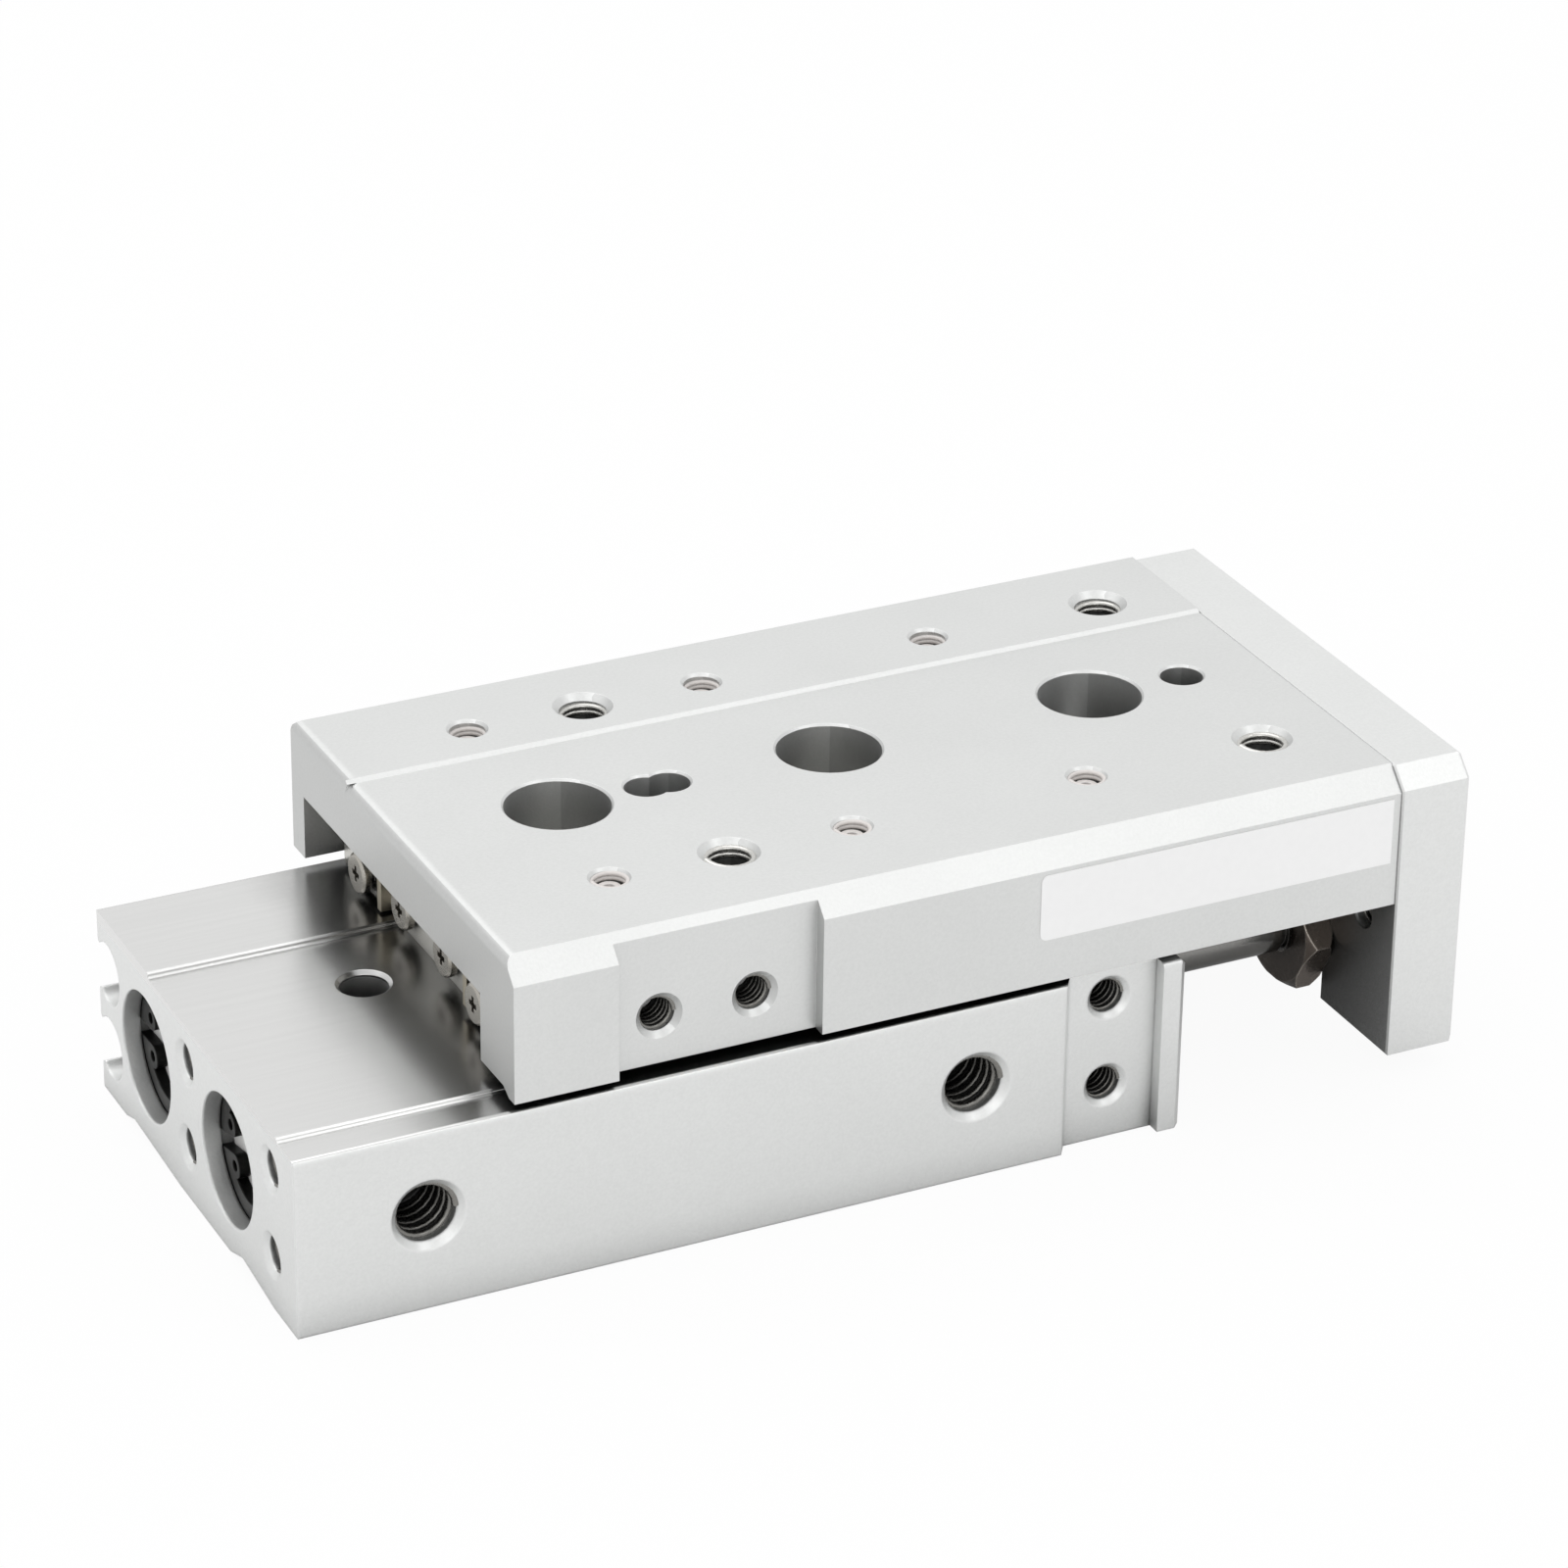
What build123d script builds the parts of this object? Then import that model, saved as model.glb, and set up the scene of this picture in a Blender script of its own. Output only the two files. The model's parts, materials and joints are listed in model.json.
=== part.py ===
from build123d import *
import math
import os

os.makedirs("parts", exist_ok=True)

# Sizes are in millimetres. x is the direction of travel, y runs from the port side to the sensor
# side and z is up. The origin is the middle mounting hole of the body, on its base.
# Near means the port side, far the sensor side. Places are written as three distances: along x from
# the head end of the body, along y from its port side, and up from its base.

# play and seats
running_gap = 0.05
press_gap = 0.02
seat_gap = 0.3

# body
hole_pitch = 20.0
first_hole = 12.7
body_length = 62.3
far_side_wall = 8.85
deck_height = 13.2
ledge_drop = 0.3
strip_rise = 0.4
ledge_width = 2.85
step_run = 0.13
top_edge_round = 0.4
mount_hole_radius = 1.65
mount_hole_chamfer = 0.25
base_hole_chamfer = 0.5
base_hole_depth = 1.0
dowel_radius = 1.5
dowel_depth = 3.0
dowel_chamfer = 0.2
dowel_slot_length = 4.0

# shallow reliefs along the base
near_foot = 4.0
near_relief = 9.6
near_relief_depth = 0.7
middle_foot_start = 11.8
middle_foot_end = 21.0
far_relief = 29.6
far_relief_depth = 0.5
far_foot = 31.2

# cylinder bores
bore_mid = 19.3
bore_pitch = 14.9
bore_height = 6.8
bore_radius = 4.0
seat_step = 0.6
head_seat_depth = 7.0
rod_seat_depth = 12.7
ring_groove_depth = 0.35
ring_thickness = 0.75
ring_inset = 1.35
ring_band = 1.5
ring_gap = 1.15
lug_width = 1.7
lug_round = 0.8
lug_hole_radius = 0.4
head_lug_reach = 1.75
rod_lug_reach = 2.4
head_ring_turn = {"near": -12, "far": -3}
rod_ring_turn = 90

# caps, bushings and their seals
seal_section = 0.46
seal_groove_width = 1.2
seal_groove_depth = 0.95
cap_dimple_radius = 2.1
cap_dimple_depth = 0.8
cap_hollow_radius = 1.6
cap_hollow_depth = 1.2
bushing_groove = 2.4
rod_seal_length = 2.0
rod_seal_wall = 1.25
rod_seal_pocket = 0.1
lip_inner_wall = 0.35
lip_outer_wall = 0.3
lip_depth = 0.8

# air ports
port_height = 6.85
head_port = 9.1
rod_port = 48.3
port_radius = 2.1
port_chamfer = 0.5
port_depth = 5.4
passage_radius = 1.1

# pad for a stopper on the port side
pad_start = 54.95
pad_ramp = 0.7
pad_depth = 1.0
pad_hole = 58.7
pad_hole_low = 4.0
pad_hole_high = 10.7
pad_hole_depth = 4.0

# small tapped holes
small_tap_radius = 1.25
small_tap_chamfer = 0.4
end_tap_near = 4.3
end_tap_low = 3.85
end_tap_high = 10.2
end_tap_depth = 6.0
drill_point = 0.6

# sensor grooves
groove_radius = 2.25
groove_inset = 1.75
groove_mouth = 3.4
groove_low = 3.8
groove_high = 9.55
lip_round = 0.25

# cover at the rod end
cover_thickness = 1.85
cover_round = 0.5
cover_nut_play = 0.3
cover_side_screw = 3.3
cover_screw_radius = 0.8
cover_screw_length = 2.8
cover_screw_play = 0.2
flat_head_radius = 1.9
flat_head_length = 1.0
flat_head_key = 1.3

# table
table_length = 65.0
table_width = 37.75
plate_depth = 4.6
shown_travel = 14.0
first_access = 11.6
access_radius = 3.6
access_chamfer = 0.15
near_skirt = 5.4
far_skirt = 2.1
near_skirt_drop = 5.4
far_skirt_drop = 4.7
skirt_step = 0.5
skirt_foot_start = 0.9
skirt_foot_end = 1.8
near_chamfer = 1.58
step_line = 27.6
step_rise = 0.25
step_slope = 0.27
far_chamfer = 0.35
end_round = 0.8

# guide, which fills the table's channel from the near skirt to the far one
rail_width = 6.6
rail_height = 4.9
track_gap = 0.8
far_rail_gap = 1.35
track_height = 1.4
roller_diameter = 2.0
roller_play = 0.02
roller_length = 1.86
roller_count = 8
roller_pitch = 3.2
track_relief = 0.3
track_relief_height = 0.4
block_start = 18.1
block_end_gap = 0.5
block_top_gap = 0.3
block_chamfer = 0.25
block_hole_radius = 3.1
block_screw_end = 2.9
block_screw_radius = 1.0
block_screw_play = 0.3
block_screw_grip = 3.4
strip_cover = 1.05
rail_inset = 2.35
rail_clearance = 0.4
rail_chamfer = 0.15
cage_start = 17.1
cage_height = 3.2
cage_thickness = 0.6
first_roller = 11.5
cage_tail = 4.1
window_margin = 0.15
window_height = 2.75

# stop screws in the ends of the guide block and rails
stop_head_radius = 1.45
stop_head_length = 0.6
stop_neck = 0.35
stop_screw_radius = 0.8
stop_screw_length = 2.4
block_stop_far = 2.9
block_stop_near = 3.7
rail_stop_edge = 2.7
cross_length = 1.2
cross_width = 0.4
cross_depth = 0.4

# holes of the table
thread_shift = 0.6
thread_first = 18.95
thread_pitch = 40.0
thread_radius = 1.65
thread_chamfer = 0.45
rail_screw_first = 10.4
rail_screw_pitch = 17.5
rail_screw_radius = 1.2
rail_screw_play = 0.1
rail_screw_chamfer = 0.2
rail_screw_sunk = 0.7
rail_head_radius = 1.9
rail_head_length = 1.9
rail_head_key = 1.5
rail_head_seat = 2.1
rail_tip_chamfer = 0.4
rail_tip_dimple = 0.4
pin_hole = 58.85
pin_slot = 18.85
pin_radius = 1.5
pin_chamfer = 0.15
pin_depth = 2.8
pin_slot_step = 1.6

# recess of the table for a stopper
recess_start = 7.3
recess_end = 21.75
recess_depth = 1.0
recess_hole_first = 10.55
recess_hole_pitch = 6.8
recess_hole_height = 17.0
recess_hole_depth = 3.4

# end plate
plate_thickness = 5.35
plate_overhang = 0.2
plate_bottom = 1.8
plate_chamfer = 1.4
plate_far_chamfer = 0.4
plate_rim = 0.3
plate_joint = 0.12
slot_radius = 3.25
slot_step = 0.9
stop_hole = 3.85
stop_hole_height = 11.0
stop_hole_radius = 1.05
stop_hole_chamfer = 0.12
plate_screw_drop = 2.6
plate_screw_near = 13.5
plate_screw_far = 26.5
corner_screw = 2.7
corner_screw_drop = 6.1
plate_screw_radius = 1.2
plate_screw_play = 0.2
plate_screw_grip = 5.0

# heads of the larger screws
cap_head_radius = 2.25
cap_head_length = 2.2
cap_head_key = 2.0
head_play = 0.15
head_sunk = 0.2
sink_chamfer = 0.2
head_edge = 0.12
key_depth = 0.6
thread_wall = 0.05

# rods and pistons
rod_radius = 2.0
piston_length = 7.5
piston_start = 23.9
piston_face = 1.0
piston_groove_depth = 1.1
seal_groove_start = 0.9
piston_seal_width = 1.5
magnet_groove_start = 3.6
magnet_width = 2.4
magnet_play = 0.25
nut_flats = 8.4
nut_length = 2.1
nut_chamfer = 0.45
nut_face_chamfer = 0.6
neck_length = 0.5
neck_depth = 0.35
bush_length = 2.75
washer_thickness = 0.6
washer_overlap = 0.7
rod_screw_radius = 1.25
rod_screw_grip = 6.0
rod_head_length = 1.8

# label
label_start = 37.6
label_end_gap = 0.6
label_bottom = 16.8
label_top = 21.6
label_corner = 0.5
label_thickness = 0.08

# what follows from these sizes
near_bore = bore_mid - bore_pitch / 2
far_bore = bore_mid + bore_pitch / 2
body_width = far_bore + far_side_wall
sides = {"near": near_bore, "far": far_bore}
mount_holes = [first_hole + hole_pitch * i for i in range(3)]
seat_radius = bore_radius + seat_step
rod_seat_start = body_length - rod_seat_depth
rod_ring_start = body_length - ring_inset - ring_thickness
inner_ring_face = ring_inset + ring_thickness + running_gap
bushing_end = body_length - inner_ring_face
cover_end = body_length + cover_thickness
ledge_height = deck_height - ledge_drop
strip_height = deck_height + strip_rise
rail_bottom = strip_height + rail_clearance
table_under = rail_bottom + rail_height
guide_height = rail_bottom + track_height
table_top = table_under + plate_depth
table_start = first_hole + shown_travel - first_access
table_end = table_start + table_length
far_top = table_top + step_rise
near_skirt_bottom = table_under - near_skirt_drop
far_skirt_bottom = table_under - far_skirt_drop
channel_width = table_width - near_skirt - far_skirt
block_width = channel_width - seat_gap - far_rail_gap - 2 * (rail_width + track_gap)
block_length = body_length - block_start - block_end_gap
block_end = block_start + block_length
block_top = table_under - block_top_gap
block_height = block_top - deck_height
guide_mid = near_skirt + seat_gap + rail_width + track_gap + block_width / 2
track_offset = (block_width + track_gap) / 2
rail_offset = track_offset + (track_gap + rail_width) / 2
thread_row = rail_offset + thread_shift
rail_stop_offset = track_offset + rail_stop_edge
deck_end = guide_mid + block_width / 2 - strip_cover
cage_length = first_roller + (roller_count - 1) * roller_pitch + cage_tail
rail_start = table_start + rail_inset
rail_length = table_length - 2 * rail_inset
nut_corner = nut_flats / math.sqrt(3)
head_x = -mount_holes[1]
near_y = -bore_mid

from_bottom = (Align.CENTER, Align.CENTER, Align.MIN)
to_rod_end = (1, 0, 0)
to_head_end = (-1, 0, 0)
to_far = (0, 1, 0)
to_near = (0, -1, 0)
up = (0, 0, 1)
down = (0, 0, -1)


def spot(along, across, height):
    return (head_x + along, near_y + across, height)


def outline(points):
    return make_face(Polyline(*[(near_y + across, height) for across, height in points], close=True))


def prism(face, start, length):
    return extrude(Plane.YZ.offset(head_x + start) * face, length, dir=to_rod_end)


def bar(start, length, across, height, radius):
    return Plane(origin=spot(start, across, height), z_dir=to_rod_end).location * Cylinder(
        radius, length, align=from_bottom
    )


def tube(start, length, across, height, outer, inner):
    return bar(start, length, across, height, outer) - bar(start, length, across, height, inner)


def block(start, length, across, width, bottom, height):
    x, y, z = spot(start, across, bottom)
    return Pos(x, y, z) * Box(length, width, height, align=(Align.MIN, Align.MIN, Align.MIN))


def hole(place, into, radius, depth, chamfer_size=0.0, drill_tip=True):
    cutter = Cylinder(radius, depth, align=from_bottom)
    if drill_tip:
        cutter += Pos(0, 0, depth) * Cone(radius, 0.0, radius * drill_point, align=from_bottom)
    if chamfer_size:
        cutter += Cone(radius + chamfer_size, radius, chamfer_size, align=from_bottom)
    return Plane(origin=place, z_dir=into).location * cutter


def hex_prism(flats, length):
    return extrude(RegularPolygon(flats / math.sqrt(3), 6), length, dir=up)


def socket_screw(place, into, head_radius, head_length, key, shank_radius, shank_length):
    """A screw whose head sits on `place`, with its shank going `into` the metal."""
    top = Pos(0, 0, -head_length) * Cylinder(head_radius, head_length, align=from_bottom)
    rim = top.edges().filter_by(GeomType.CIRCLE).sort_by(Axis.Z)[0]
    top = chamfer(rim, head_radius * head_edge)
    top -= Pos(0, 0, -head_length) * hex_prism(key, head_length * key_depth)
    shank = Cylinder(shank_radius, shank_length, align=from_bottom)
    return Plane(origin=place, z_dir=into).location * (top + shank)


def stop_screw(place, into):
    """A low screw with a crossed recess, whose head stands off `place` by its neck."""
    top = -stop_neck - stop_head_length
    head = Pos(0, 0, top) * Cylinder(stop_head_radius, stop_head_length, align=from_bottom)
    rim = head.edges().filter_by(GeomType.CIRCLE).sort_by(Axis.Z)[0]
    head = chamfer(rim, stop_head_radius * head_edge)
    for width, length in ((cross_width, cross_length), (cross_length, cross_width)):
        head -= Pos(0, 0, top) * Box(width, length, cross_depth, align=from_bottom)
    shank = Pos(0, 0, -stop_neck) * Cylinder(stop_screw_radius, stop_neck + stop_screw_length, align=from_bottom)
    return Plane(origin=place, z_dir=into).location * (head + shank)


def body_face():
    face = outline(
        [
            (0, 0),
            (near_foot, 0),
            (near_relief, near_relief_depth),
            (middle_foot_start, 0),
            (middle_foot_end, 0),
            (far_relief, far_relief_depth),
            (far_foot, 0),
            (body_width, 0),
            (body_width, strip_height),
            (deck_end + step_run, strip_height),
            (deck_end, strip_height - step_run),
            (deck_end, deck_height + step_run),
            (deck_end - step_run, deck_height),
            (ledge_width + step_run, deck_height),
            (ledge_width, deck_height - step_run),
            (ledge_width, ledge_height + step_run),
            (ledge_width - step_run, ledge_height),
            (0, ledge_height),
        ]
    )
    corner = face.vertices().sort_by_distance((near_y, ledge_height, 0))[0]
    face = fillet(corner, top_edge_round)
    centre = near_y + body_width - groove_inset
    lips = []
    for height in (groove_low, groove_high):
        face -= Pos(centre, height) * Circle(groove_radius)
        face -= Pos(centre, height) * Rectangle(
            2 * groove_inset, groove_mouth, align=(Align.MIN, Align.CENTER)
        )
        for mouth_side in (-1, 1):
            lips.append((near_y + body_width, height + mouth_side * groove_mouth / 2, 0))
    return fillet([face.vertices().sort_by_distance(lip)[0] for lip in lips], lip_round)


def cylinder_body():
    body = prism(body_face(), 0, body_length)
    body -= block(pad_start + pad_ramp, body_length - pad_start, 0, pad_depth, 0, strip_height)
    x, y, z = spot(pad_start, 0, 0)
    ramp = make_face(Polyline((x, y), (x + pad_ramp, y), (x + pad_ramp, y + pad_depth), close=True))
    body -= extrude(ramp, strip_height, dir=up)
    cutters = []
    for across in sides.values():
        cutters.append(bar(0, body_length, across, bore_height, bore_radius))
        cutters.append(bar(0, head_seat_depth, across, bore_height, seat_radius))
        cutters.append(bar(rod_seat_start, rod_seat_depth, across, bore_height, seat_radius))
        for start in (ring_inset, rod_ring_start):
            cutters.append(
                bar(start - running_gap, ring_thickness + 2 * running_gap, across, bore_height,
                    seat_radius + ring_groove_depth)
            )
    for along in mount_holes:
        cutters.append(
            hole(spot(along, bore_mid, deck_height), down, mount_hole_radius, deck_height,
                 mount_hole_chamfer, False)
        )
        cutters.append(
            hole(spot(along, bore_mid, 0), up, mount_hole_radius, base_hole_depth, base_hole_chamfer, False)
        )
    place = spot(mount_holes[1] - hole_pitch / 2, bore_mid, 0)
    cutters.append(hole(place, up, dowel_radius, dowel_depth, dowel_chamfer, False))
    slot = SlotOverall(dowel_slot_length, 2 * dowel_radius)
    place = spot(mount_holes[1] + hole_pitch / 2, bore_mid, 0)
    cutters.append(extrude(Pos(*place) * slot, dowel_depth, dir=up))
    for along in (head_port, rod_port):
        place = spot(along, 0, port_height)
        cutters.append(hole(place, to_far, port_radius, port_depth, port_chamfer, False))
        cutters.append(hole(place, to_far, passage_radius, far_bore, 0.0, False))
    for across in (end_tap_near, bore_mid):
        for height in (end_tap_low, end_tap_high):
            place = spot(0, across, height)
            cutters.append(hole(place, to_rod_end, small_tap_radius, end_tap_depth, small_tap_chamfer))
    for height in (pad_hole_low, pad_hole_high):
        place = spot(pad_hole, pad_depth, height)
        cutters.append(hole(place, to_far, small_tap_radius, pad_hole_depth, small_tap_chamfer))
    for across, height in cover_screw_spots():
        place = spot(body_length, across, height)
        cutters.append(hole(place, to_head_end, cover_screw_radius + thread_wall, cover_screw_length))
    for along in block_screw_spots():
        place = spot(along, guide_mid, deck_height)
        cutters.append(hole(place, down, block_screw_radius + thread_wall, block_screw_grip + seat_gap))
    return body - cutters


def cover_screw_spots():
    side_height = (pad_hole_low + pad_hole_high) / 2
    return [(bore_mid, end_tap_low), (bore_mid, end_tap_high), (cover_side_screw, side_height)]


def rod_cover():
    cover = prism(body_face(), body_length, cover_thickness)
    x, y, z = spot(cover_end, 0, ledge_height - cover_round)
    rise = strip_height - z
    wedge = make_face(Polyline((x, z), (x, z + rise), (x - rise, z + rise), close=True))
    cover -= extrude(Plane.XZ.offset(-y) * wedge, body_width, dir=to_far)
    corner = make_face(Polyline((x, y), (x - cover_round, y), (x, y + cover_round), close=True))
    cover -= extrude(corner, strip_height, dir=up)
    for across in sides.values():
        cover -= bar(body_length, cover_thickness, across, bore_height, nut_corner + cover_nut_play)
    for across, height in cover_screw_spots():
        cover -= bar(body_length, cover_thickness, across, height, cover_screw_radius + cover_screw_play)
        place = spot(cover_end - flat_head_length, across, height)
        cover -= hole(place, to_rod_end, flat_head_radius + running_gap, flat_head_length, 0.0, False)
    return cover


def cover_screws():
    return Part() + [
        socket_screw(
            spot(cover_end - flat_head_length, across, height), to_head_end, flat_head_radius,
            flat_head_length, flat_head_key, cover_screw_radius, cover_screw_length
        )
        for across, height in cover_screw_spots()
    ]


def seal_groove(start, across):
    return tube(start, seal_groove_width, across, bore_height, seat_radius, seat_radius - seal_groove_depth)


def ring_seal(middle, across):
    place = Plane(origin=spot(middle, across, bore_height), z_dir=to_rod_end).location
    return place * Torus(seat_radius - press_gap - seal_section, seal_section)


def head_cap(across):
    length = head_seat_depth - inner_ring_face
    cap = bar(inner_ring_face, length, across, bore_height, seat_radius - running_gap)
    cap -= seal_groove(inner_ring_face + (length - seal_groove_width) / 2, across)
    cap -= bar(inner_ring_face, cap_dimple_depth, across, bore_height, cap_dimple_radius)
    return cap - bar(head_seat_depth - cap_hollow_depth, cap_hollow_depth, across, bore_height, cap_hollow_radius)


def cap_seal(across):
    return ring_seal((inner_ring_face + head_seat_depth) / 2, across)


def retaining_ring(across, start, lug_reach, turn):
    """An open ring in its groove; `turn` is the angle of its gap, from far towards up."""
    outer = seat_radius + ring_groove_depth - running_gap
    inner = outer - ring_band
    ring = Circle(outer) - Circle(inner)
    ring -= Rot(0, 0, turn) * Rectangle(outer + 1, ring_gap, align=(Align.MIN, Align.CENTER))
    for side in (-1, 1):
        middle = side * (ring_gap + lug_width) / 2
        lug = Pos(lug_reach, middle) * Rectangle(
            inner + ring_band / 3 - lug_reach, lug_width, align=(Align.MIN, Align.CENTER)
        )
        lug = fillet(lug.vertices().group_by(Axis.X)[0], lug_round)
        lug -= Pos(lug_reach + lug_width / 2, middle) * Circle(lug_hole_radius)
        ring += Rot(0, 0, turn) * lug
    return extrude(Plane.YZ.offset(head_x + start) * Pos(near_y + across, bore_height) * ring,
                   ring_thickness, dir=to_rod_end)


def rod_bushing(across):
    length = bushing_end - rod_seat_start
    pocket = rod_seal_length + 2 * rod_seal_pocket
    bushing = tube(rod_seat_start, length, across, bore_height, seat_radius - running_gap, rod_radius + running_gap)
    bushing -= bar(bushing_end - pocket, pocket, across, bore_height, rod_radius + rod_seal_wall + running_gap)
    return bushing - seal_groove(rod_seat_start + bushing_groove, across)


def bushing_seal(across):
    return ring_seal(rod_seat_start + bushing_groove + seal_groove_width / 2, across)


def rod_seal(across):
    start = bushing_end - rod_seal_pocket - rod_seal_length
    seal = tube(start, rod_seal_length, across, bore_height, rod_radius + rod_seal_wall, rod_radius + running_gap)
    return seal - tube(start + rod_seal_length - lip_depth, lip_depth, across, bore_height,
                       rod_radius + rod_seal_wall - lip_outer_wall, rod_radius + lip_inner_wall)


def track_cut(side, start, length):
    """The square channel that the crossed rollers run in, on one side of the guide."""
    reach = roller_diameter / math.sqrt(2)
    middle = guide_mid + side * track_offset
    channel = outline(
        [(middle - reach, guide_height), (middle, guide_height - reach),
         (middle + reach, guide_height), (middle, guide_height + reach)]
    )
    relief = Rectangle(2 * reach + track_relief, track_relief_height)
    return prism(channel + Pos(near_y + middle, guide_height) * relief, start, length)


def guide_block():
    lower = guide_mid - block_width / 2
    steel = block(block_start, block_length, lower, block_width, deck_height, block_height)
    steel = chamfer(steel.edges().filter_by(Axis.X).group_by(Axis.Z)[-1], block_chamfer)
    rebate = strip_cover + step_run + seat_gap
    rebate_height = strip_height - deck_height + seat_gap
    for side, across in ((-1, lower), (1, lower + block_width - rebate)):
        steel -= track_cut(side, block_start, block_length)
        steel -= block(block_start, block_length, across, rebate, deck_height, rebate_height)
    cutters = []
    for along in mount_holes[1:]:
        place = spot(along, bore_mid, block_top)
        cutters.append(hole(place, down, block_hole_radius, block_height, sink_chamfer, False))
    for along in block_screw_spots():
        place = spot(along, guide_mid, block_top)
        cutters.append(hole(place, down, block_screw_radius + block_screw_play, block_height, 0.0, False))
        sink = cap_head_length + head_sunk
        cutters.append(hole(place, down, cap_head_radius + head_play, sink, sink_chamfer, False))
    for place, into in block_stop_places():
        cutters.append(hole(place, into, stop_screw_radius + thread_wall, stop_screw_length + seat_gap))
    return steel - cutters


def block_screw_spots():
    between = [along + hole_pitch / 2 for along in mount_holes[:2]]
    return between + [block_end - block_screw_end]


def block_screws():
    seat = block_top - cap_head_length - head_sunk
    return Part() + [
        socket_screw(
            spot(along, guide_mid, seat), down, cap_head_radius, cap_head_length, cap_head_key,
            block_screw_radius, seat - deck_height + block_screw_grip
        )
        for along in block_screw_spots()
    ]


def block_stop_places():
    return [
        (spot(along, across, guide_height), into)
        for across in (guide_mid - block_width / 2 + block_stop_near, guide_mid + block_width / 2 - block_stop_far)
        for along, into in ((block_start, to_rod_end), (block_end, to_head_end))
    ]


def block_stop_screws():
    return Part() + [stop_screw(place, into) for place, into in block_stop_places()]


def roller_spots():
    return [cage_start + first_roller + roller_pitch * i for i in range(roller_count)]


def cage(side):
    middle = guide_mid + side * track_offset
    strip = block(cage_start, cage_length, middle - cage_thickness / 2, cage_thickness,
                  guide_height - cage_height / 2, cage_height)
    window = roller_diameter + 2 * window_margin
    for along in roller_spots():
        strip -= block(along - window / 2, window, middle - cage_thickness / 2, cage_thickness,
                       guide_height - window_height / 2, window_height)
    return strip


def rollers(side):
    """Crossed rollers: the axis of each one is a right angle from the next."""
    middle = guide_mid + side * track_offset
    crossed = Part()
    for number, along in enumerate(roller_spots()):
        lean = 1 if number % 2 else -1
        place = Plane(origin=spot(along, middle, guide_height), z_dir=(0, 1, lean)).location
        crossed += place * Cylinder(roller_diameter / 2 - roller_play, roller_length)
    return crossed


def rail(side):
    across = guide_mid + side * rail_offset - rail_width / 2
    steel = block(rail_start, rail_length, across, rail_width, rail_bottom, table_under - rail_bottom)
    steel = chamfer(steel.edges().filter_by(Axis.X).group_by(Axis.Z)[0], rail_chamfer)
    steel -= track_cut(side, rail_start, rail_length)
    cutters = []
    for along in rail_screw_spots():
        place = spot(along, guide_mid + side * thread_row, rail_bottom)
        cutters.append(hole(place, up, rail_screw_radius + rail_screw_play, plate_depth + rail_width, 0.0, False))
        cutters.append(hole(place, up, rail_head_radius + rail_screw_play, rail_head_seat, 0.0, False))
    for place, into in rail_stop_places(side):
        cutters.append(hole(place, into, stop_screw_radius + thread_wall, stop_screw_length + seat_gap))
    return steel - cutters


def rail_screw_spots():
    return [table_start + rail_screw_first + rail_screw_pitch * i for i in range(3)]


def rail_screws():
    """The screws come from below; their tips show in the table's top."""
    seat = rail_bottom + rail_head_seat
    screws = Part()
    for side in (-1, 1):
        for along in rail_screw_spots():
            place = spot(along, guide_mid + side * thread_row, seat)
            screw = socket_screw(place, up, rail_head_radius, rail_head_length, rail_head_key,
                                 rail_screw_radius, table_top - rail_screw_sunk - seat)
            tip = screw.edges().filter_by(GeomType.CIRCLE).sort_by(Axis.Z)[-1]
            dimple = spot(along, guide_mid + side * thread_row, table_top - rail_screw_sunk)
            screws += chamfer(tip, rail_tip_chamfer) - hole(dimple, down, rail_tip_dimple, rail_tip_dimple)
    return screws


def rail_stop_places(side):
    return [
        (spot(along, guide_mid + side * rail_stop_offset, guide_height), into)
        for along, into in ((rail_start, to_rod_end), (rail_start + rail_length, to_head_end))
    ]


def rail_stop_screws():
    places = rail_stop_places(-1) + rail_stop_places(1)
    return Part() + [stop_screw(place, into) for place, into in places]


def end_edge(across, width, top):
    """What a round takes off the upper edge of the table's head end."""
    x, y, z = spot(table_start, across, top)
    corner = Pos(x, z) * Rectangle(end_round, end_round, align=(Align.MIN, Align.MAX))
    corner -= Pos(x + end_round, z - end_round) * Circle(end_round)
    return extrude(Plane.XZ.offset(-y) * corner, width, dir=to_far)


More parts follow.
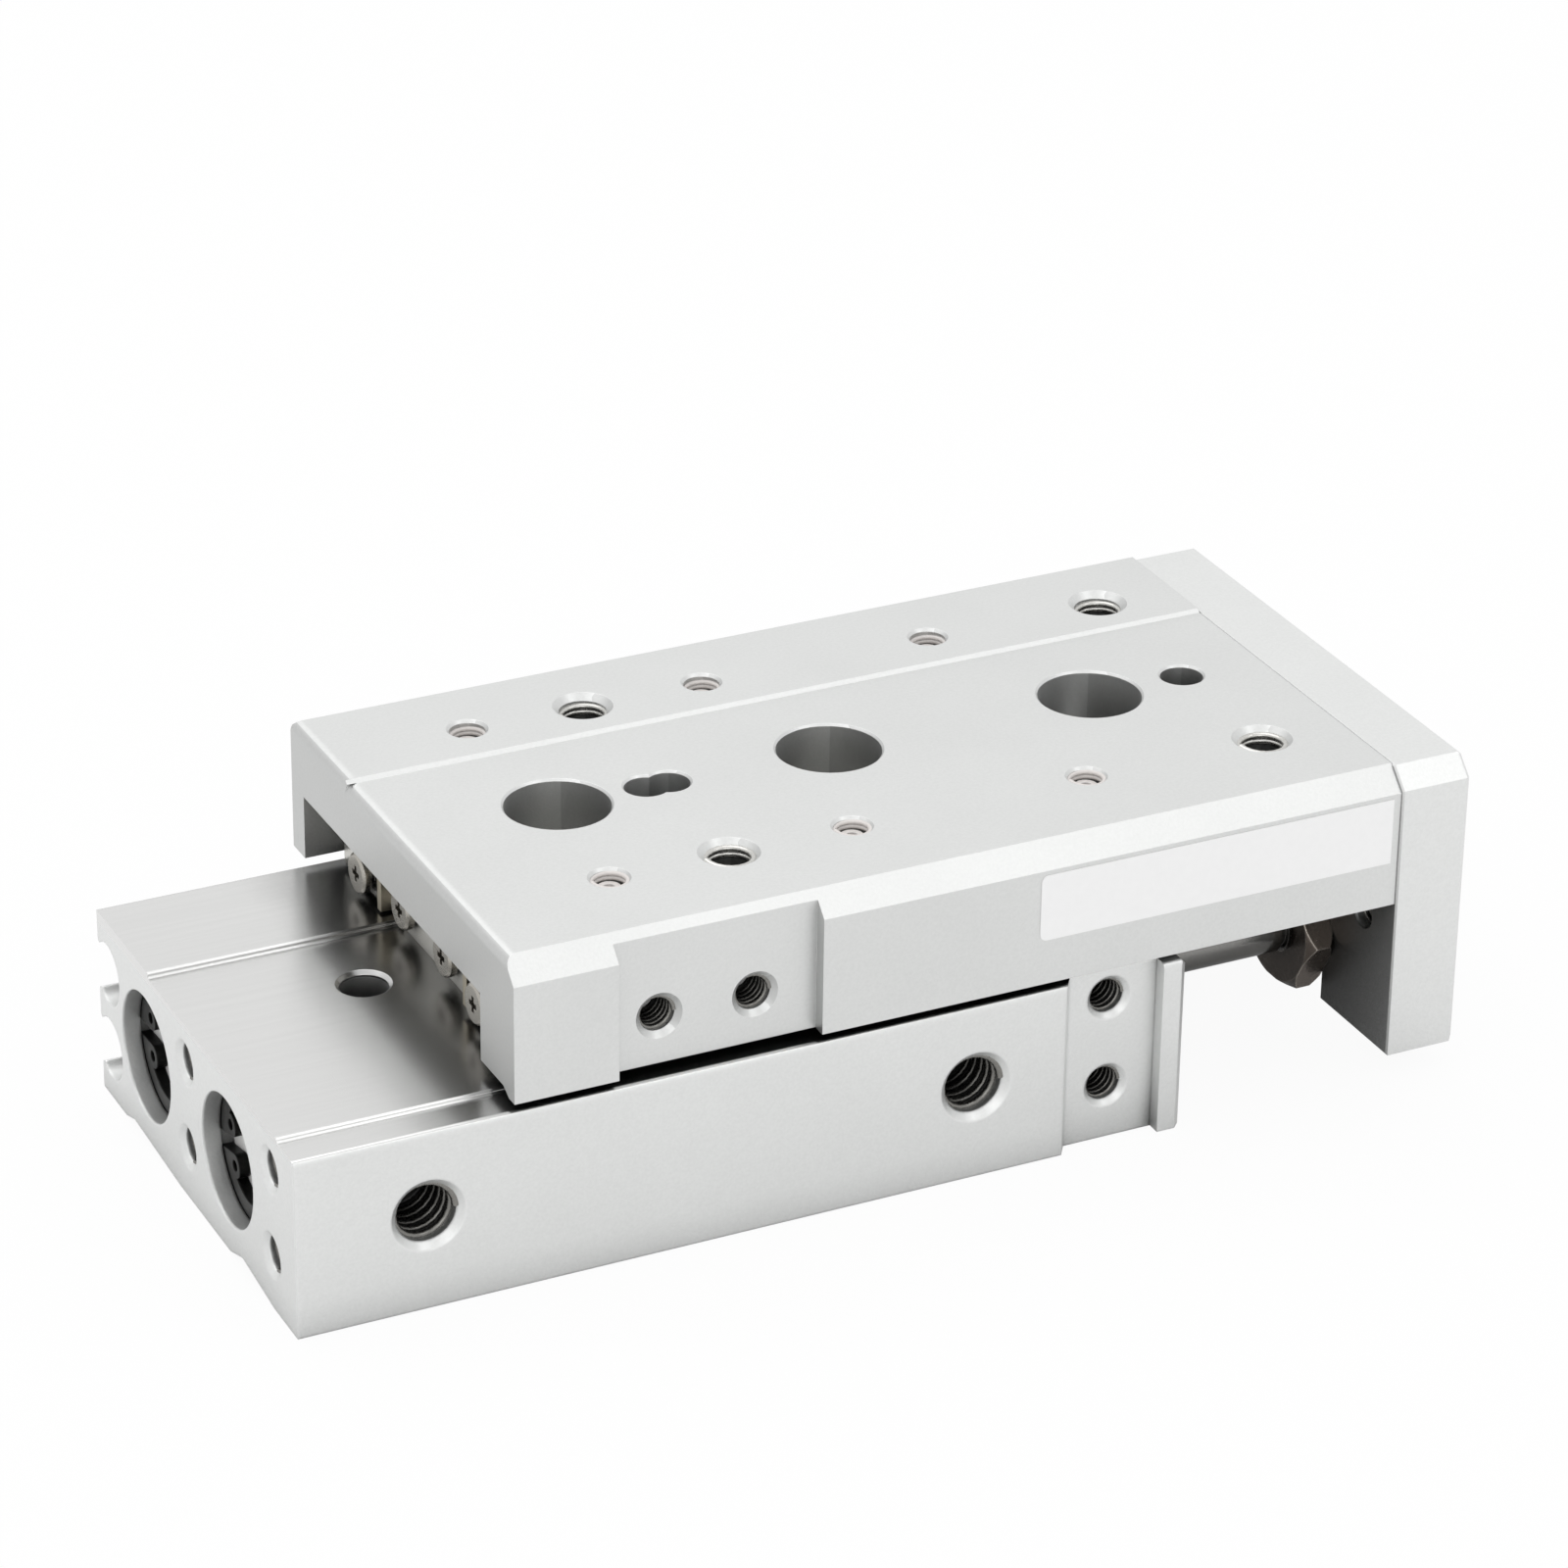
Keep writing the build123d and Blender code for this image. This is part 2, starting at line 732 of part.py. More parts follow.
def table_plate():
    face = outline(
        [
            (0, near_skirt_bottom),
            (0, table_top - near_chamfer),
            (near_chamfer, table_top),
            (step_line, table_top),
            (step_line + step_slope, far_top),
            (table_width - far_chamfer, far_top),
            (table_width, far_top - far_chamfer),
            (table_width, far_skirt_bottom),
            (table_width - far_skirt, far_skirt_bottom),
            (table_width - far_skirt, table_under),
            (near_skirt, table_under),
            (near_skirt, near_skirt_bottom + skirt_step),
            (skirt_foot_end, near_skirt_bottom + skirt_step),
            (skirt_foot_start, near_skirt_bottom),
        ]
    )
    plate = prism(face, table_start, table_length)
    plate -= end_edge(0, step_line + step_slope, table_top)
    plate -= end_edge(step_line + step_slope, table_width - step_line, far_top)
    plate -= block(table_start + recess_start, recess_end - recess_start, 0, recess_depth,
                   near_skirt_bottom, table_top - near_skirt_bottom)
    cutters = []
    for number in range(3):
        along = table_start + first_access + hole_pitch * number
        cutters.append(
            hole(spot(along, bore_mid, table_top), down, access_radius, plate_depth, access_chamfer, False)
        )
    for side, top in ((-1, table_top), (1, far_top)):
        across = guide_mid + side * thread_row
        depth = top - table_under
        for number in range(2):
            along = table_start + thread_first + thread_pitch * number
            cutters.append(hole(spot(along, across, top), down, thread_radius, depth, thread_chamfer, False))
        for along in rail_screw_spots():
            radius = rail_screw_radius + thread_wall
            cutters.append(hole(spot(along, across, top), down, radius, depth, rail_screw_chamfer, False))
    place = spot(table_start + pin_hole, bore_mid, table_top)
    cutters.append(hole(place, down, pin_radius, pin_depth, pin_chamfer, False))
    for along in (pin_slot - pin_slot_step / 2, pin_slot + pin_slot_step / 2):
        place = spot(table_start + along, bore_mid, table_top)
        cutters.append(hole(place, down, pin_radius, pin_depth, pin_chamfer, False))
    for number in range(2):
        along = table_start + recess_hole_first + recess_hole_pitch * number
        place = spot(along, recess_depth, recess_hole_height)
        cutters.append(hole(place, to_far, small_tap_radius, recess_hole_depth, small_tap_chamfer))
    for across, height in plate_screw_spots():
        place = spot(table_end, across, height)
        cutters.append(hole(place, to_head_end, plate_screw_radius + thread_wall, plate_screw_grip + seat_gap))
    return plate - cutters


def plate_screw_spots():
    high = table_top - plate_screw_drop
    return [(plate_screw_near, high), (plate_screw_far, high), (corner_screw, table_top - corner_screw_drop)]


def end_plate():
    face = outline(
        [
            (-plate_overhang, plate_bottom),
            (table_width, plate_bottom),
            (table_width, table_top - plate_far_chamfer),
            (table_width - plate_far_chamfer, table_top),
            (plate_chamfer - plate_overhang, table_top),
            (-plate_overhang, table_top - plate_chamfer),
        ]
    )
    plate = prism(face, table_end, plate_thickness)
    plate = chamfer(plate.faces().sort_by(Axis.X)[-1].outer_wire().edges(), plate_rim)
    plate = chamfer(plate.faces().sort_by(Axis.X)[0].outer_wire().edges(), plate_joint)
    pocket_depth = plate_thickness - bush_length
    outside = table_end + plate_thickness
    for across in sides.values():
        for start, length, radius in (
            (table_end, plate_thickness, slot_radius),
            (table_end + bush_length, pocket_depth, slot_radius + slot_step),
        ):
            plate -= bar(start, length, across, bore_height, radius)
            plate -= block(start, length, across - radius, 2 * radius, 0, bore_height)
    for across, height in plate_screw_spots():
        plate -= bar(table_end, plate_thickness, across, height, plate_screw_radius + plate_screw_play)
        sink = cap_head_length + head_sunk
        place = spot(outside, across, height)
        plate -= hole(place, to_head_end, cap_head_radius + head_play, sink, sink_chamfer, False)
    place = spot(table_end, stop_hole, stop_hole_height)
    return plate - hole(place, to_rod_end, stop_hole_radius, plate_thickness, stop_hole_chamfer, False)


def plate_screws():
    seat = table_end + plate_thickness - cap_head_length - head_sunk
    return Part() + [
        socket_screw(
            spot(seat, across, height), to_head_end, cap_head_radius, cap_head_length, cap_head_key,
            plate_screw_radius, seat - table_end + plate_screw_grip
        )
        for across, height in plate_screw_spots()
    ]


def piston_rod(across):
    start = piston_start + piston_face
    end = table_end + bush_length
    neck = table_end - nut_length - neck_length
    rod = bar(start, end - start, across, bore_height, rod_radius)
    rod -= tube(neck, neck_length, across, bore_height, rod_radius, rod_radius - neck_depth)
    place = spot(end, across, bore_height)
    return rod - hole(place, to_head_end, rod_screw_radius + thread_wall, rod_screw_grip + seat_gap)


def piston(across):
    floor = bore_radius - piston_groove_depth
    disc = bar(piston_start, piston_length, across, bore_height, bore_radius - running_gap)
    disc -= bar(piston_start + piston_face, piston_length - piston_face, across, bore_height,
                rod_radius + press_gap)
    for start, width in ((seal_groove_start, piston_seal_width), (magnet_groove_start, magnet_width)):
        disc -= tube(piston_start + start, width, across, bore_height, bore_radius, floor)
    return disc


def piston_band(across, start, width, outer):
    """A ring that fills a groove of the piston."""
    inner = bore_radius - piston_groove_depth + press_gap
    return tube(piston_start + start + running_gap, width - 2 * running_gap, across, bore_height, outer, inner)


def rod_nut(across):
    nut = Cylinder(nut_corner, nut_length, align=from_bottom)
    front, back = nut.edges().filter_by(GeomType.CIRCLE).sort_by(Axis.Z)
    nut = chamfer(front, nut_face_chamfer)
    nut = chamfer(nut.edges().filter_by(GeomType.CIRCLE).sort_by(Axis.Z)[-1], nut_chamfer)
    nut &= Rot(0, 0, 30) * hex_prism(nut_flats, nut_length)
    nut -= Cylinder(rod_radius + press_gap, nut_length, align=from_bottom)
    return Plane(origin=spot(table_end - nut_length, across, bore_height), z_dir=to_rod_end).location * nut


def floating_bush(across):
    return tube(table_end, bush_length, across, bore_height, slot_radius - running_gap, rod_radius + running_gap)


def rod_washer(across):
    return tube(table_end + bush_length, washer_thickness, across, bore_height,
                slot_radius + washer_overlap, rod_screw_radius + head_play)


def rod_screws():
    seat = table_end + bush_length + washer_thickness
    return Part() + [
        socket_screw(
            spot(seat, across, bore_height), to_head_end, cap_head_radius, rod_head_length, cap_head_key,
            rod_screw_radius, washer_thickness + rod_screw_grip
        )
        for across in sides.values()
    ]


def label():
    length = table_length - label_start - label_end_gap
    face = Rectangle(length, label_top - label_bottom, align=(Align.MIN, Align.MIN))
    face = fillet(face.vertices().group_by(Axis.X)[0], label_corner)
    place = spot(table_start + label_start, 0, label_bottom)
    return extrude(Plane(origin=place, x_dir=to_rod_end, z_dir=to_near) * face, label_thickness, dir=to_near)


nodes = {
    "cylinder_body": cylinder_body(),
    "rod_cover": rod_cover(),
    "cover_screws": cover_screws(),
    "guide_block": guide_block(),
    "block_screws": block_screws(),
    "block_stop_screws": block_stop_screws(),
    "rail_screws": rail_screws(),
    "rail_stop_screws": rail_stop_screws(),
    "table_plate": table_plate(),
    "end_plate": end_plate(),
    "plate_screws": plate_screws(),
    "rod_screws": rod_screws(),
    "label": label(),
}
for name, side in (("near", -1), ("far", 1)):
    nodes["cage_" + name] = cage(side)
    nodes["rollers_" + name] = rollers(side)
    nodes["rail_" + name] = rail(side)
for name, across in sides.items():
    nodes["head_cap_" + name] = head_cap(across)
    nodes["cap_seal_" + name] = cap_seal(across)
    nodes["head_ring_" + name] = retaining_ring(across, ring_inset, head_lug_reach, head_ring_turn[name])
    nodes["rod_bushing_" + name] = rod_bushing(across)
    nodes["bushing_seal_" + name] = bushing_seal(across)
    nodes["rod_seal_" + name] = rod_seal(across)
    nodes["rod_ring_" + name] = retaining_ring(across, rod_ring_start, rod_lug_reach, rod_ring_turn)
    nodes["piston_rod_" + name] = piston_rod(across)
    nodes["piston_" + name] = piston(across)
    nodes["piston_seal_" + name] = piston_band(
        across, seal_groove_start, piston_seal_width, bore_radius - press_gap
    )
    nodes["magnet_" + name] = piston_band(across, magnet_groove_start, magnet_width, bore_radius - magnet_play)
    nodes["rod_nut_" + name] = rod_nut(across)
    nodes["floating_bush_" + name] = floating_bush(across)
    nodes["rod_washer_" + name] = rod_washer(across)

for name, shape in nodes.items():
    export_step(shape, f"parts/{name}.step")
    print(name, round(shape.volume, 2))
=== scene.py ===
import json
import math

import bpy
from mathutils import Matrix, Vector


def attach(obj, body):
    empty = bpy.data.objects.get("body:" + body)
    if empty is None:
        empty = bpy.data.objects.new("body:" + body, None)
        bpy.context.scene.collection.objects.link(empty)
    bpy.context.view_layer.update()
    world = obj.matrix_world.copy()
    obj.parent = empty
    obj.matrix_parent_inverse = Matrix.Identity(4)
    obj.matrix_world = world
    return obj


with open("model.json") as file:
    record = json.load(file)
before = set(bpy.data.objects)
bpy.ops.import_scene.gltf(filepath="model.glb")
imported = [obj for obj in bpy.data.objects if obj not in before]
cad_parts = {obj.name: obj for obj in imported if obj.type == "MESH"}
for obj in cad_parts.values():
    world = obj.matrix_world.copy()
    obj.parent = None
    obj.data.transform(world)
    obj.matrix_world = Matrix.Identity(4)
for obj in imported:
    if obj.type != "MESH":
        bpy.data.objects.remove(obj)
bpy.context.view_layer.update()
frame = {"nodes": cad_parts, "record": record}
nodes = frame["nodes"]
mounts = {mount["name"]: mount for mount in frame["record"]["mounts"]}
mm = 0.001

# values that the materials share
bevelSamples = 6
gapSamples = 6
gritDepth = 0.2
lineDepth = 0.1
noiseLow = 0.3
noiseHigh = 0.7
edgeCosine = 0.9
facingCosine = 0.5
print("frame loaded:", len(nodes), "nodes")


def linearHex(code):
    # an sRGB hex colour as the linear values that a shader takes
    channels = [int(code[i:i + 2], 16) / 255 for i in (1, 3, 5)]
    linear = [c / 12.92 if c <= 0.04045 else ((c + 0.055) / 1.055) ** 2.4 for c in channels]
    return (*linear, 1.0)


def addNode(tree, kind, settings=None, links=None):
    # makes a node; settings are inputs where the name is one, otherwise properties of the node
    node = tree.nodes.new(kind)
    for name, value in (settings or {}).items():
        if isinstance(name, int) or name in node.inputs:
            node.inputs[name].default_value = value
        else:
            setattr(node, name, value)
    for name, source in (links or {}).items():
        tree.links.new(source, node.inputs[name])
    return node


def newMaterial(name):
    material = bpy.data.materials.new(name)
    material.use_nodes = True
    tree = material.node_tree
    tree.nodes.clear()
    output = addNode(tree, "ShaderNodeOutputMaterial")
    return material, tree, output


def facesTurned(tree, way):
    # 1 on the faces that are turned this way, 0 on the others
    geometry = addNode(tree, "ShaderNodeNewGeometry")
    turned = addNode(tree, "ShaderNodeVectorMath", {"operation": "DOT_PRODUCT", 1: way},
                     {0: geometry.outputs["True Normal"]})
    chosen = addNode(tree, "ShaderNodeMath", {"operation": "GREATER_THAN", 1: facingCosine},
                     {0: turned.outputs["Value"]})
    return chosen.outputs[0]


def paintedShadeInGaps(tree, colour, look):
    # the colour with painted shade: darkened in holes, narrow gaps and under nearby parts, the more so the
    # more enclosed the surface is
    openness = addNode(tree, "ShaderNodeAmbientOcclusion",
                       {"samples": gapSamples, "Distance": look["gapMm"] * mm,
                        "only_local": look["ownGapsOnly"]})
    share = addNode(tree, "ShaderNodeMapRange", {"From Min": look["shutFrom"], "From Max": look["openFrom"],
                                                 "To Min": look["inside"], "To Max": 1.0},
                    {"Value": openness.outputs["AO"]})
    darker = addNode(tree, "ShaderNodeMix", {"data_type": "RGBA", "blend_type": "MULTIPLY", 0: 1.0},
                     {6: colour, 7: share.outputs[0]})
    if "facing" in look:
        tree.links.new(facesTurned(tree, look["facing"]), darker.inputs[0])
    return darker.outputs[2]


def paintedShadeOnEnds(tree, colour, look):
    # the colour with painted shade, a little darker on the faces turned the given way
    shadedEnds = addNode(tree, "ShaderNodeMix", {"data_type": "RGBA", "blend_type": "MULTIPLY",
                                             7: linearHex(look["dull"])},
                     {0: facesTurned(tree, look["facing"]), 6: colour})
    return shadedEnds.outputs[2]


# Metals with a blasted or anodised skin

def satinMetal(name, look):
    # fine grit in the bump, a faint cloud in the colour, and edges painted a little brighter, partly as wear
    # and partly as painted highlight
    material, tree, output = newMaterial(name)
    coords = addNode(tree, "ShaderNodeTexCoord").outputs["Object"]
    grit = addNode(tree, "ShaderNodeTexNoise", {"Scale": 1 / (look["gritMm"] * mm), "Detail": 3.0},
                   {"Vector": coords})
    cloud = addNode(tree, "ShaderNodeTexNoise", {"Scale": 1 / (look["cloudMm"] * mm), "Detail": 2.0},
                    {"Vector": coords})
    rounded = addNode(tree, "ShaderNodeBevel", {"samples": bevelSamples, "Radius": look["edgeMm"] * mm})
    geometry = addNode(tree, "ShaderNodeNewGeometry")
    bend = addNode(tree, "ShaderNodeVectorMath", {"operation": "DOT_PRODUCT"},
                   {0: rounded.outputs[0], 1: geometry.outputs["Normal"]})
    # edges painted brighter: partly wear, partly painted highlight
    edge = addNode(tree, "ShaderNodeMapRange", {"From Min": 1.0, "From Max": edgeCosine, "To Min": 0.0,
                                                "To Max": look["wearAndHighlight"]}, {"Value": bend.outputs["Value"]})
    skin = addNode(tree, "ShaderNodeMix", {"data_type": "RGBA", 6: linearHex(look["colour"]),
                                           7: linearHex(look["shade"])}, {0: cloud.outputs["Fac"]})
    speck = addNode(tree, "ShaderNodeMapRange", {"From Min": noiseLow, "From Max": noiseHigh,
                                                 "To Min": 1 - look["speck"], "To Max": 1.0},
                    {"Value": grit.outputs["Fac"]})
    speckled = addNode(tree, "ShaderNodeMix", {"data_type": "RGBA", "blend_type": "MULTIPLY", 0: 1.0},
                       {6: skin.outputs[2], 7: speck.outputs[0]})
    colour = addNode(tree, "ShaderNodeMix", {"data_type": "RGBA", 7: linearHex(look["edge"])},
                     {0: edge.outputs[0], 6: speckled.outputs[2]})
    rough = addNode(tree, "ShaderNodeMapRange", {"To Min": look["rough"] - look["roughSpread"],
                                                 "To Max": look["rough"] + look["roughSpread"]},
                    {"Value": grit.outputs["Fac"]})
    bump = addNode(tree, "ShaderNodeBump",
                   {"Strength": look["bump"], "Distance": look["gritMm"] * mm * gritDepth},
                   {"Height": grit.outputs["Fac"], "Normal": rounded.outputs[0]})
    # painted shade in holes and gaps, by how enclosed the surface is
    shaded = paintedShadeInGaps(tree, colour.outputs[2], look)
    shader = addNode(tree, "ShaderNodeBsdfPrincipled", {"Metallic": look["metal"]},
                     {"Base Color": shaded, "Roughness": rough.outputs[0], "Normal": bump.outputs[0]})
    tree.links.new(shader.outputs[0], output.inputs["Surface"])
    return material, tree, shader


# gapMm, inside, shutFrom, openFrom and ownGapsOnly set the painted shade in holes and gaps
anodisedLook = {"colour": "#E9EAE9", "shade": "#E4E5E4", "edge": "#F0F0F0", "gritMm": 0.22, "cloudMm": 9.0,
                "speck": 0.05, "edgeMm": 0.16, "wearAndHighlight": 0.4, "rough": 0.42, "roughSpread": 0.04,
                "bump": 0.25, "metal": 0.9, "gapMm": 6.0, "inside": 0.07, "shutFrom": 0.06, "openFrom": 0.5,
                "ownGapsOnly": False}
# body: a broader band of wear and painted highlight along its edges
bodyLook = {**anodisedLook, "edgeMm": 0.3, "wearAndHighlight": 0.6, "shutFrom": 0.12, "openFrom": 0.57}
tableLook = {**anodisedLook, "colour": "#E2E3E2", "shade": "#DCDDDC", "edgeMm": 0.05, "gapMm": 12.0,
             "inside": 0.3, "openFrom": 0.55}
# painted shade on the table's faces turned to -X
tableEndShade = {"dull": "#E7E7E7", "facing": (-1, 0, 0)}
plateLook = {**anodisedLook, "colour": "#EAEBEA", "shade": "#E5E6E5", "edgeMm": 0.05}
# painted deep shade on the end plate's faces turned to -X, by how enclosed they are
plateShade = {"gapMm": 30.0, "inside": 0.05, "shutFrom": 0.1, "openFrom": 0.95, "ownGapsOnly": False,
              "facing": (-1, 0, 0)}
cappedLook = {**anodisedLook, "colour": "#F2F2F0", "shade": "#E8E8E6", "edge": "#F6F6F5", "rough": 0.45,
              "metal": 0.1, "inside": 0.95}
blackLook = {**anodisedLook, "colour": "#1E1E1D", "shade": "#161615", "edge": "#3C3B39", "rough": 0.4,
             "gritMm": 0.1}
# nuts: painted highlight on the edges, painted shade on the faces turned to -X
brownedLook = {**anodisedLook, "colour": "#91877E", "shade": "#5C524B", "edge": "#D8D0C6", "wearAndHighlight": 0.8,
               "edgeMm": 0.2, "rough": 0.26, "gritMm": 0.3, "speck": 0.15, "gapMm": 14.0, "inside": 0.08,
               "shutFrom": 0.2, "openFrom": 0.9, "facing": (-1, 0, 0)}
threadLook = {**anodisedLook, "colour": "#8A8985", "shade": "#7C7A76", "rough": 0.28, "gritMm": 0.15,
              "edgeMm": 0.05}
paleThreadLook = {**threadLook, "colour": "#D6D5D1", "shade": "#C8C7C3", "openFrom": 0.3}
tipLook = {**anodisedLook, "colour": "#DEDAD7", "shade": "#D0CBC8", "metal": 0.2, "rough": 0.6, "inside": 0.9}

# rod cover: pale, with a soft broad sheen that hides the shape of the lamps
anodisedAluminium = satinMetal("satin anodised aluminium", anodisedLook)[0]
# table: the same skin, with paler painted shade in its holes and painted shade on its end faces
tableAluminium, tableTree, tableSkin = satinMetal("satin anodised table", tableLook)
tableColour = tableSkin.inputs["Base Color"].links[0].from_socket
tableTree.links.new(paintedShadeOnEnds(tableTree, tableColour, tableEndShade), tableSkin.inputs["Base Color"])
# end plate: the same skin, with painted deep shade on its inner face under the table
plateAluminium, plateTree, plateSkin = satinMetal("satin anodised end plate", plateLook)
plateColour = plateSkin.inputs["Base Color"].links[0].from_socket
plateTree.links.new(paintedShadeInGaps(plateTree, plateColour, plateShade), plateSkin.inputs["Base Color"])
# caps at the bottom of the head-end bores: pale discs behind the black rings
cappedAluminium = satinMetal("grey anodised aluminium", cappedLook)[0]
# retaining rings: nearly black against the grey caps, with a thin paler edge
blackenedSteel = satinMetal("blackened spring steel", blackLook)[0]
# nuts on the rods: dark brown and shiny, so that the chamfers catch the light, with painted highlight on
# their edges and painted shade on their faces turned to -X
brownedSteel = satinMetal("browned steel", brownedLook)[0]
# rail screws: pale pinkish tips in the table's threaded holes
nickelledSteel = satinMetal("dull nickelled screw tips", tipLook)[0]
# turns of thread: brighter cut metal inside dark holes, and paler still in the table
threadMetal = satinMetal("cut thread in the body", threadLook)[0]
paleThreadMetal = satinMetal("cut thread in the table", paleThreadLook)[0]


# Metals that are ground, turned or stamped

def cutMetal(name, look):
    # long fine lines along one axis
    material, tree, output = newMaterial(name)
    coords = addNode(tree, "ShaderNodeTexCoord").outputs["Object"]
    stretch = [1 / (look["lineMm"] * mm)] * 3
    stretch[look["along"]] = 1 / (look["runMm"] * mm)
    mapping = addNode(tree, "ShaderNodeMapping", {"Scale": stretch}, {"Vector": coords})
    lines = addNode(tree, "ShaderNodeTexNoise", {"Scale": 1.0, "Detail": 2.0}, {"Vector": mapping.outputs[0]})
    rounded = addNode(tree, "ShaderNodeBevel", {"samples": bevelSamples, "Radius": look["edgeMm"] * mm})
    colour = addNode(tree, "ShaderNodeMix", {"data_type": "RGBA", 6: linearHex(look["colour"]),
                                             7: linearHex(look["shade"])}, {0: lines.outputs["Fac"]})
    rough = addNode(tree, "ShaderNodeMapRange", {"From Min": noiseLow, "From Max": noiseHigh,
                                                 "To Min": look["rough"] - look["roughSpread"],
                                                 "To Max": look["rough"] + look["roughSpread"]},
                    {"Value": lines.outputs["Fac"]})
    bump = addNode(tree, "ShaderNodeBump",
                   {"Strength": look["bump"], "Distance": look["lineMm"] * mm * lineDepth},
                   {"Height": lines.outputs["Fac"], "Normal": rounded.outputs[0]})
    # painted shade in holes and gaps, by how enclosed the surface is
    shaded = paintedShadeInGaps(tree, colour.outputs[2], look)
    shader = addNode(tree, "ShaderNodeBsdfPrincipled", {"Metallic": 1.0},
                     {"Base Color": shaded, "Roughness": rough.outputs[0], "Normal": bump.outputs[0]})
    tree.links.new(shader.outputs[0], output.inputs["Surface"])
    return material


# gapMm, inside, shutFrom, openFrom and ownGapsOnly set the painted shade in holes and gaps
groundLook = {"colour": "#D2D1CC", "shade": "#BFBDB7", "lineMm": 0.08, "runMm": 12.0, "along": 0,
              "edgeMm": 0.1, "rough": 0.24, "roughSpread": 0.05, "bump": 0.3, "gapMm": 2.0,
              "inside": 0.25, "shutFrom": 0.1, "openFrom": 0.5, "ownGapsOnly": False}
# guide block: painted lighter than the rails' steel
blockLook = {**groundLook, "colour": "#E6E5E0", "shade": "#D6D5D0", "rough": 0.6}
# rods: painted shade where the cover, the nut and the table close round them
rodLook = {**groundLook, "colour": "#B4B3B0", "shade": "#A2A19E", "rough": 0.18, "along": 1, "runMm": 0.6,
           "gapMm": 12.0, "inside": 0.1, "openFrom": 0.8}
screwLook = {**groundLook, "colour": "#C0BDB6", "shade": "#A6A29A", "rough": 0.28, "runMm": 0.3,
             "inside": 0.45}
cageLook = {**groundLook, "colour": "#D3CCBB", "shade": "#BDB4A0", "rough": 0.32, "runMm": 2.0}
brassLook = {**groundLook, "colour": "#C9A964", "shade": "#B08F4D", "rough": 0.3, "runMm": 0.3}

# rails: crisp grey lines along the travel
groundSteel = cutMetal("ground steel", groundLook)
# guide block: the same lines, but duller and painted lighter, so that its end shows grey above the dark deck
dullSteel = cutMetal("dull ground steel", blockLook)
# rods and rollers: the smoothest metal, with lines around it
polishedRod = cutMetal("hard chromed rod", rodLook)
# screws and washers: short turning marks
brightScrew = cutMetal("bright screw steel", screwLook)
# roller cages: thin warm strips between the steel parts
stampedCage = cutMetal("stamped cage strip", cageLook)
# rod bushings: warm yellow rings behind the rod-end rings
turnedBrass = cutMetal("turned brass", brassLook)


# Rubber, film and ferrite

def moulded(name, look):
    # a soft sheen over a very fine texture
    material, tree, output = newMaterial(name)
    coords = addNode(tree, "ShaderNodeTexCoord").outputs["Object"]
    grain = addNode(tree, "ShaderNodeTexNoise", {"Scale": 1 / (look["grainMm"] * mm), "Detail": 2.0},
                    {"Vector": coords})
    colour = addNode(tree, "ShaderNodeMix", {"data_type": "RGBA", 6: linearHex(look["colour"]),
                                             7: linearHex(look["shade"])}, {0: grain.outputs["Fac"]})
    bump = addNode(tree, "ShaderNodeBump",
                   {"Strength": look["bump"], "Distance": look["grainMm"] * mm * gritDepth},
                   {"Height": grain.outputs["Fac"]})
    shader = addNode(tree, "ShaderNodeBsdfPrincipled", {"Roughness": look["rough"], "IOR": 1.5},
                     {"Base Color": colour.outputs[2], "Normal": bump.outputs[0]})
    tree.links.new(shader.outputs[0], output.inputs["Surface"])
    return material


rubberLook = {"colour": "#1B1B1C", "shade": "#262627", "grainMm": 0.1, "rough": 0.6, "bump": 0.2}
filmLook = {"colour": "#EFEFEF", "shade": "#EBEBEB", "grainMm": 0.6, "rough": 0.35, "bump": 0.03}
ferriteLook = {"colour": "#3A3937", "shade": "#2C2B2A", "grainMm": 0.2, "rough": 0.55, "bump": 0.3}

# seals: matt black
nitrileRubber = moulded("moulded nitrile rubber", rubberLook)
# blank label: the whitest surface, flat and a little glossy
labelFilm = moulded("white polyester label film", filmLook)
# magnets of the pistons: dull dark grey
ferrite = moulded("sintered ferrite", ferriteLook)


# The body: an anodised extrusion whose top is milled bright, with lines along the travel

# the deck: painted shade on its upward faces near the guide and under the table
deck = {"startMm": 12.8, "colour": "#E6E6E5", "shade": "#DFDFDE", "rough": 0.24, "lineMm": 0.3, "runMm": 25.0,
        "edgeMm": 0.08, "bump": 0.08, "depthMm": 0.01, "gapMm": 7.5, "inside": 0.25, "shutFrom": 0.28,
        "openFrom": 0.95, "ownGapsOnly": False, "facing": (0, 0, 1)}


